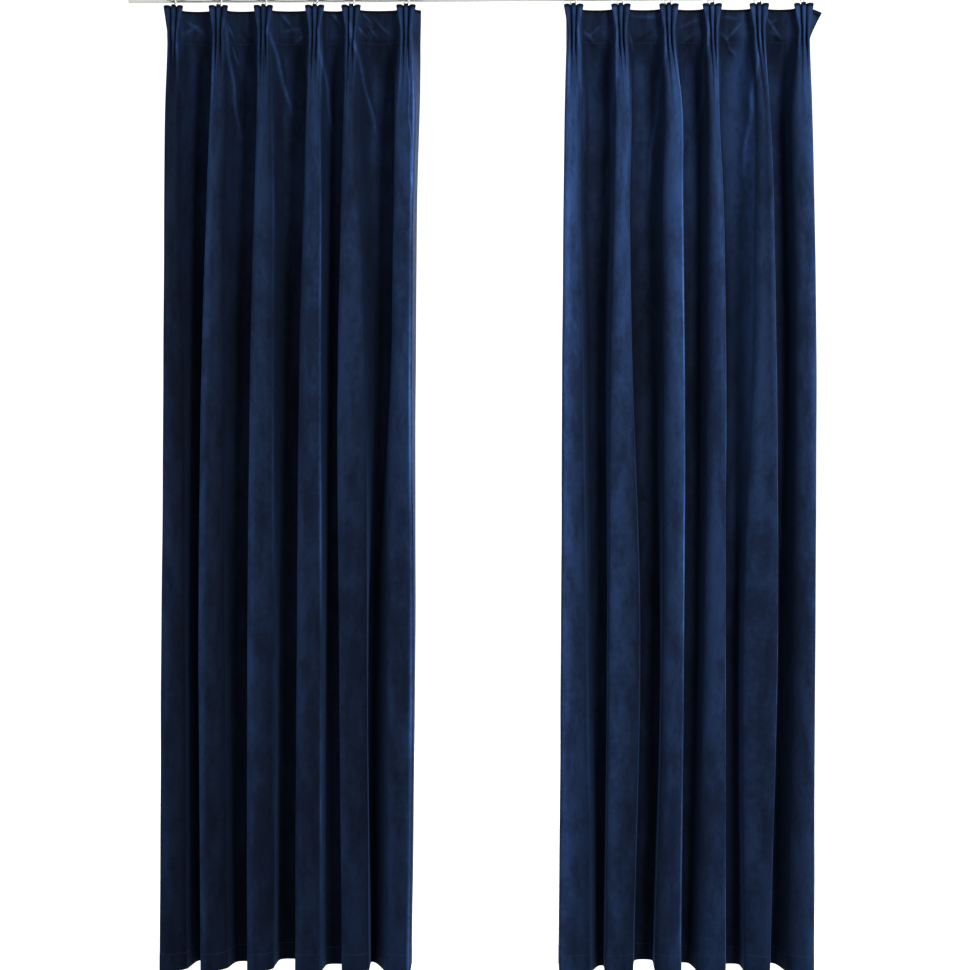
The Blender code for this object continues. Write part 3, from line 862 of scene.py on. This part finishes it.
def velvet_look(cloth):
    """Velvet: a deep blue whose nap lies lighter and darker in long soft patches, with crushed marks, scaled
    by the cloth's painted light and shade.
    """
    look = Look("velvet pile")
    place = look.node("ShaderNodeUVMap", {"uv_map": "cloth"}).outputs["UV"]
    long_patches = look.noise(look.stretched(place, (9.0, 1.6, 1.0)), 1.0, 3.0, 0.55)
    brushed = look.noise(look.stretched(place, (28.0, 9.0, 1.0)), 1.0, 4.0, 0.6)
    marks = look.noise(look.stretched(place, (90.0, 60.0, 1.0)), 1.0, 3.0, 0.6)
    pile = look.noise(place, 1400.0, 2.0, 0.6)
    nap = look.step(long_patches * 0.4 + brushed * 0.4 + marks * 0.2, 0.38, 0.62)
    # The cloth's painted light and shade, per point
    tone = Number(look, look.node("ShaderNodeAttribute", {"attribute_name": "nap_tone"}).outputs["Fac"])
    nap_lie_and_painted_light = look.mix(nap, rgba(cloth.deep_color), rgba(cloth.nap_color))
    color = look.scaled(nap_lie_and_painted_light, tone)
    rough = 0.92 - nap * 0.12
    relief = pile * 0.4 + marks * 0.6
    look.finish(
        {
            "Base Color": color,
            "Roughness": rough,
            "Sheen Weight": 0.5,
            "Sheen Roughness": 0.3,
            "Sheen Tint": rgba(cloth.sheen_color),
            "Specular IOR Level": 0.06,
            "Normal": look.bump(relief, 0.35, 0.0012),
        }
    )


def velvet_back_look(cloth):
    """The velvet's back: a plain matt weave, threads of sine waves along and across the cloth."""
    look = Look("velvet back")
    place = look.node("ShaderNodeUVMap", {"uv_map": "cloth"}).outputs["UV"]
    split = look.node("ShaderNodeSeparateXYZ", None, {0: place})
    across, down = (Number(look, split.outputs[k]) for k in (0, 1))
    threads = look.wave(across, 5200.0) * look.wave(down, 5200.0)
    cloudy = look.noise(look.stretched(place, (20.0, 6.0, 1.0)), 1.0, 3.0)
    color = look.mix(cloudy, rgba([0.55 * c for c in cloth.deep_color]), rgba(cloth.deep_color))
    look.finish(
        {
            "Base Color": color,
            "Roughness": 0.88 + threads * 0.06,
            "Specular IOR Level": 0.2,
            "Normal": look.bump(threads, 0.25, 0.0003),
        }
    )


def thread_look(cloth):
    """Sewing thread: dark blue with a fine twist."""
    look = Look("sewing thread")
    place = look.node("ShaderNodeTexCoord").outputs["Object"]
    twist = look.noise(place, 2600.0, 1.0)
    color = look.mix(twist, rgba([0.7 * c for c in cloth.deep_color]), rgba(cloth.nap_color))
    relief = look.bump(twist, 0.4, 0.0002)
    look.finish({"Base Color": color, "Roughness": 0.62, "Normal": relief})


def metal_look(name, color, roughness, grain, brushed):
    """Brushed metal: fine streaks of tone and roughness, drawn out in the directions where grain is small."""
    look = Look(name)
    place = look.node("ShaderNodeTexCoord").outputs["Object"]
    streaks = look.noise(look.stretched(place, grain), 1.0, 4.0, 0.65)
    wear = look.noise(place, 26.0, 3.0, 0.55)
    tone = look.mix(streaks, rgba([0.82 * c for c in color]), rgba(color))
    look.finish(
        {
            "Base Color": tone,
            "Metallic": 1.0,
            "Roughness": roughness + (streaks - 0.5) * 0.14 + (wear - 0.5) * 0.1,
            "Normal": look.bump(streaks, brushed, 0.0002),
        }
    )


def length_property(name, description, default):
    return bpy.props.FloatProperty(name=name, description=description, default=default, unit="LENGTH")


def color_property(name, description, default):
    return bpy.props.FloatVectorProperty(name=name, description=description, default=default, subtype="COLOR")


def power_property(name, description, default):
    return bpy.props.FloatProperty(name=name, description=description, default=default, unit="POWER")


class CurtainCloth(bpy.types.PropertyGroup):
    thickness: length_property("Cloth thickness", "Velvet with its pile", 0.0018)
    band_depth: length_property("Heading band", "Depth of the heading band, down to its seam", 0.088)
    hem_depth: length_property("Hem depth", "From the hem's stitches to the lower edge", 0.043)
    top_stitch: length_property("Top stitch", "From the top edge to its stitches", 0.008)
    stitch_pitch: length_property("Stitch pitch", "From one stitch to the next", 0.0034)
    deep_color: color_property("Deep blue", "Velvet whose nap lies away", (0.0085, 0.0190, 0.056))
    nap_color: color_property("Nap blue", "Velvet whose nap faces the light", (0.0180, 0.0470, 0.138))
    sheen_color: color_property("Sheen", "Light caught by the pile's tips", (0.14, 0.31, 0.80))


class CurtainMetal(bpy.types.PropertyGroup):
    ring_wire: length_property("Ring wire radius", "Radius of the rings' wire", 0.0015)
    eye_wire: length_property("Eye wire radius", "Radius of the eyes' wire", 0.0009)
    rod_color: color_property("Rod", "Brushed steel", (0.46, 0.47, 0.45))
    ring_color: color_property("Rings", "Pale nickel", (0.80, 0.81, 0.80))
    hook_color: color_property("Hooks", "Bright steel wire", (0.62, 0.62, 0.60))


class CurtainStudio(bpy.types.PropertyGroup):
    distance: length_property("Camera distance", "From the camera to the rod's plane", 3.4)
    lens: bpy.props.FloatProperty(
        name="Lens", description="Focal length in millimetres", default=49.3, unit="CAMERA"
    )
    turn: bpy.props.FloatProperty(
        name="Camera turn",
        description="How far the camera stands to the right",
        default=math.radians(0.6),
        subtype="ANGLE",
    )
    key: power_property("Key light", "Power of the light at the right", 160.0)
    fill: power_property("Fill light", "Power of the light in front", 32.0)
    back: power_property("Back light", "Power of the light behind", 80.0)
    floor_color: color_property("Floor", "Pale floor and backdrop", (0.86, 0.86, 0.86))


def make_curtain(curtain):
    """The cloth, with a row of stitches at its top edge, under the band and above the hem."""
    cloth = bpy.context.scene.curtain_cloth
    points, normal, along, down = cloth_grid(curtain)
    # Painted light and shade for the velvet's colour
    tone = nap_tone(curtain, points, normal, down)
    piece = cloth_object(f"{curtain.side}_velvet_curtain", points, normal, along, down, tone)
    stitches = []
    lift = cloth.thickness * (1 + EXTRA_LAYERS) / 2 + STITCH_LIFT
    length = cloth.stitch_pitch * STITCH_SHARE
    for drop in (cloth.top_stitch, cloth.band_depth, CURTAIN_DROP - cloth.hem_depth):
        line, out = row_line(points, normal, down, drop, lift)
        stitches.append(stitch_row(line, out, cloth.stitch_pitch, length, STITCH_RADIUS))
    sewing = stitching_object(f"{curtain.side}_curtain_stitches", stitches)
    for made in (piece, sewing):
        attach(made, "root")
    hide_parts(f"curtain_{curtain.side}")


class CURTAINS_OT_finishes(bpy.types.Operator):
    """Make the velvet, thread and metal finishes"""

    bl_idname = "curtains.finishes"
    bl_label = "Finishes"

    def execute(self, context):
        cloth = context.scene.curtain_cloth
        metal = context.scene.curtain_metal
        velvet_look(cloth)
        velvet_back_look(cloth)
        thread_look(cloth)
        metal_look("brushed steel", metal.rod_color, 0.34, (9.0, 900.0, 900.0), 0.12)
        metal_look("pale nickel", metal.ring_color, 0.24, (420.0, 420.0, 420.0), 0.05)
        metal_look("steel wire", metal.hook_color, 0.30, (600.0, 600.0, 90.0), 0.08)
        return {"FINISHED"}


def rod_points(sides):
    """A surface of revolution about X: the rod's radius, less the bevel at its ends, then 0 to close them."""
    half = ROD_LENGTH / 2
    inner = np.linspace(-half + ROD_BEVEL, half - ROD_BEVEL, 41)
    x = np.concatenate(((-half, -half), inner, (half, half)))
    edge = ROD_RADIUS - ROD_BEVEL
    reach = np.concatenate(((0.0, edge), np.full(len(inner), ROD_RADIUS), (edge, 0.0)))
    angle = np.arange(sides) * math.tau / sides
    wheel = np.stack((np.zeros(sides), -np.sin(angle), np.cos(angle)), axis=1)
    return x[:, None, None] * X_AXIS + reach[:, None, None] * wheel


class CURTAINS_OT_rod(bpy.types.Operator):
    """Make the round rod with its lightly bevelled square ends"""

    bl_idname = "curtains.rod"
    bl_label = "Rod"

    def execute(self, context):
        points = rod_points(72)
        faces = grid_faces(*points.shape[:2], wrap_columns=True)
        piece = mesh_of("round_rod", points, faces, "brushed steel", 30)
        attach(piece, "root")
        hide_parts("rod")
        return {"FINISHED"}


def ring_centre():
    """The height of a ring's middle: its inside lies SEAT_GAP above the corners of the source's rod."""
    return ROD_RADIUS / math.cos(math.pi / ROD_SOURCE_SIDES) + SEAT_GAP - RING_INNER_RADIUS


def eye_centre(metal):
    """The height of an eye's middle: its wire runs through the lowest part of the ring's wire."""
    return ring_centre() - (RING_INNER_RADIUS + metal.ring_wire) - EYE_RADIUS - metal.eye_wire / 2


def one_per_fold(kind, shape_at, faces, look, smooth_angle):
    """At each pleat, a piece with the points of shape_at(fold) moved along to it."""
    for curtain in (LEFT, RIGHT):
        for number, fold in enumerate(curtain.folds, 1):
            name = f"{curtain.side}_{kind}_{number}"
            points = shape_at(fold) + np.array((fold.pleat * MM, 0, 0))
            piece = mesh_of(name, points, faces, look, smooth_angle)
            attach(piece, "root")
            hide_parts(f"{kind}_{curtain.side}_{number}")


class CURTAINS_OT_rings(bpy.types.Operator):
    """Make the curtain rings, each with a small eye below it"""

    bl_idname = "curtains.rings"
    bl_label = "Rings"

    def execute(self, context):
        metal = context.scene.curtain_metal
        ring = torus(RING_INNER_RADIUS + metal.ring_wire, metal.ring_wire, 64, 16)
        ring = ring + np.array((0, 0, ring_centre()))
        eye = torus(EYE_RADIUS, metal.eye_wire, 32, 12)
        eye = turned_about_z(eye, math.pi / 2) + np.array((0, 0, eye_centre(metal)))
        ring_faces = grid_faces(*ring.shape[:2], wrap_rows=True, wrap_columns=True)
        eye_faces = grid_faces(*eye.shape[:2], ring[..., 0].size, wrap_rows=True, wrap_columns=True)
        faces = np.concatenate((ring_faces, eye_faces))
        shape = np.concatenate((ring.reshape(-1, 3), eye.reshape(-1, 3)))

        def turned(fold):
            return turned_about_z(shape, math.radians(fold.ring_turn))

        one_per_fold("ring", turned, faces, "pale nickel", 60)
        return {"FINISHED"}


def hook_path(metal):
    """A straight shank, a quarter circle up to the arch, a smaller quarter circle down behind it and a
    straight tail, all in a plane across X. The first and last points stand HOOK_POINT below the next."""
    arch = eye_centre(metal) - EYE_RADIUS + metal.eye_wire + ARCH_GAP + HOOK_WIRE_RADIUS
    reach = -PLEAT_BASE
    shank = np.linspace(HOOK_SHANK_LENGTH, 0, 16)[:-1]
    front = np.linspace(0, math.pi / 2, 14)[:-1]
    back = np.linspace(math.pi / 2, 0, 12)
    tail = np.linspace(HOOK_TAIL_BACK, HOOK_TAIL_LENGTH, 6)[1:]
    tail_y = np.full(len(tail), HOOK_TAIL_BACK)
    y = (np.full(len(shank), -reach), -reach * np.cos(front), HOOK_TAIL_BACK * np.cos(back), tail_y)
    bends = (reach * (1 - np.sin(front)), HOOK_TAIL_BACK * (1 - np.sin(back)))
    z = arch - np.concatenate((reach + shank, *bends, tail))
    path = np.stack((np.zeros(len(z)), np.concatenate(y), z), axis=1)
    path = np.concatenate((path[:1], path, path[-1:]))
    path[[0, -1], 2] -= HOOK_POINT
    return path


class CURTAINS_OT_hooks(bpy.types.Operator):
    """Make the pin hooks that carry the pleats"""

    bl_idname = "curtains.hooks"
    bl_label = "Hooks"

    def execute(self, context):
        path = hook_path(context.scene.curtain_metal)
        radius = np.full(len(path), HOOK_WIRE_RADIUS)
        radius[[0, -1]] = 0
        shape = tube(path, radius, 14)
        faces = grid_faces(*shape.shape[:2], wrap_columns=True)
        one_per_fold("hook", lambda fold: shape, faces, "steel wire", 50)
        return {"FINISHED"}


class CURTAINS_OT_left_curtain(bpy.types.Operator):
    """Make the left velvet curtain with its stitches"""

    bl_idname = "curtains.left_curtain"
    bl_label = "Left curtain"

    def execute(self, context):
        make_curtain(LEFT)
        return {"FINISHED"}


class CURTAINS_OT_right_curtain(bpy.types.Operator):
    """Make the right velvet curtain with its stitches"""

    bl_idname = "curtains.right_curtain"
    bl_label = "Right curtain"

    def execute(self, context):
        make_curtain(RIGHT)
        return {"FINISHED"}


def area_light(lamp, power):
    """A rectangle of light, turned to face the lamp's target."""
    light = bpy.data.lights.new(lamp.name, "AREA")
    light.shape = "RECTANGLE"
    light.size, light.size_y = lamp.size
    light.energy = power
    light.color = lamp.color
    obj = linked(lamp.name, light)
    obj.location = lamp.place
    obj.visible_camera = False
    ahead = np.array(lamp.target) - np.array(lamp.place)
    tilt = math.atan2(math.hypot(ahead[0], ahead[1]), -ahead[2])
    obj.rotation_euler = (tilt, 0, math.atan2(-ahead[0], ahead[1]))


def make_cove(studio):
    """A surface of revolution about Z: a flat floor, a quarter circle of COVE_BEND and an upright wall."""
    paper = {"Base Color": rgba(studio.floor_color), "Roughness": 0.9}
    glow = {"Emission Color": (1.0, 1.0, 1.0, 1.0), "Emission Strength": 1.0}
    Look("studio paper").finish({**paper, **glow})
    turn = np.linspace(0, math.pi / 2, 24)
    bend = COVE_RADIUS + COVE_BEND * np.sin(turn)
    rise = COVE_FLOOR + COVE_BEND * (1 - np.cos(turn))
    reach = np.concatenate(((0.0,), bend, bend[-1:]))[:, None]
    z = np.concatenate(((COVE_FLOOR,), rise, (COVE_TOP,)))[:, None]
    angle = np.arange(COVE_SIDES)[None, :] * math.tau / COVE_SIDES
    points = np.stack((reach * np.cos(angle), reach * np.sin(angle), z + 0 * angle), axis=2)
    faces = grid_faces(*points.shape[:2], wrap_columns=True)
    sweep = mesh_of("studio_sweep", points, faces, "studio paper", 60)
    sweep.visible_diffuse = False


def make_camera(studio):
    """The camera, on a circle of studio.distance about CAMERA_TARGET at the angle studio.turn."""
    camera = bpy.data.cameras.new("camera")
    camera.lens = studio.lens
    camera.sensor_width = 36.0
    camera.clip_end = CAMERA_REACH
    holder = linked("camera", camera)
    aside = studio.distance * math.sin(studio.turn)
    x, z = CAMERA_TARGET
    holder.location = (x + aside, -studio.distance * math.cos(studio.turn), z)
    holder.rotation_euler = (math.pi / 2, 0, studio.turn)
    bpy.context.scene.camera = holder


class CURTAINS_OT_stage(bpy.types.Operator):
    """Make the pale floor and backdrop, the lights and the camera"""

    bl_idname = "curtains.stage"
    bl_label = "Stage"

    def execute(self, context):
        scene = context.scene
        studio = scene.curtain_studio
        make_cove(studio)
        for lamp, power in zip(LAMPS, (studio.key, studio.back, studio.fill)):
            area_light(lamp, power)
        scene.world = bpy.data.worlds.new("studio")
        scene.world.use_nodes = True
        sky = scene.world.node_tree.nodes["Background"].inputs
        sky["Color"].default_value = (1.0, 1.0, 1.0, 1.0)
        sky["Strength"].default_value = AMBIENT
        make_camera(studio)
        scene.view_settings.view_transform = "Standard"
        return {"FINISHED"}


class CURTAINS_PT_panel(bpy.types.Panel):
    """Lists the steps that make the curtains"""

    bl_idname = "CURTAINS_PT_panel"
    bl_label = "Pinch pleat curtains"
    bl_space_type = "VIEW_3D"
    bl_region_type = "UI"
    bl_category = "Curtains"

    def draw(self, context):
        layout = self.layout
        for key in GROUPS:
            group = getattr(context.scene, key)
            box = layout.box()
            for name in group.__annotations__:
                box.prop(group, name)
        for operator in OPERATORS:
            layout.operator(operator.bl_idname)


OPERATORS = (
    CURTAINS_OT_finishes,
    CURTAINS_OT_rod,
    CURTAINS_OT_rings,
    CURTAINS_OT_hooks,
    CURTAINS_OT_left_curtain,
    CURTAINS_OT_right_curtain,
    CURTAINS_OT_stage,
)
GROUPS = {"curtain_cloth": CurtainCloth, "curtain_metal": CurtainMetal, "curtain_studio": CurtainStudio}


def register():
    for made in (*GROUPS.values(), *OPERATORS, CURTAINS_PT_panel):
        bpy.utils.register_class(made)
    for name, group in GROUPS.items():
        setattr(bpy.types.Scene, name, bpy.props.PointerProperty(type=group))


def unregister():
    for name in GROUPS:
        delattr(bpy.types.Scene, name)
    for made in reversed((*GROUPS.values(), *OPERATORS, CURTAINS_PT_panel)):
        bpy.utils.unregister_class(made)


def main():
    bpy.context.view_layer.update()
    register()
    bpy.ops.curtains.finishes()
    bpy.ops.curtains.rod()
    bpy.ops.curtains.rings()
    bpy.ops.curtains.hooks()
    bpy.ops.curtains.left_curtain()
    bpy.ops.curtains.right_curtain()
    bpy.ops.curtains.stage()


if __name__ == "__main__":
    main()
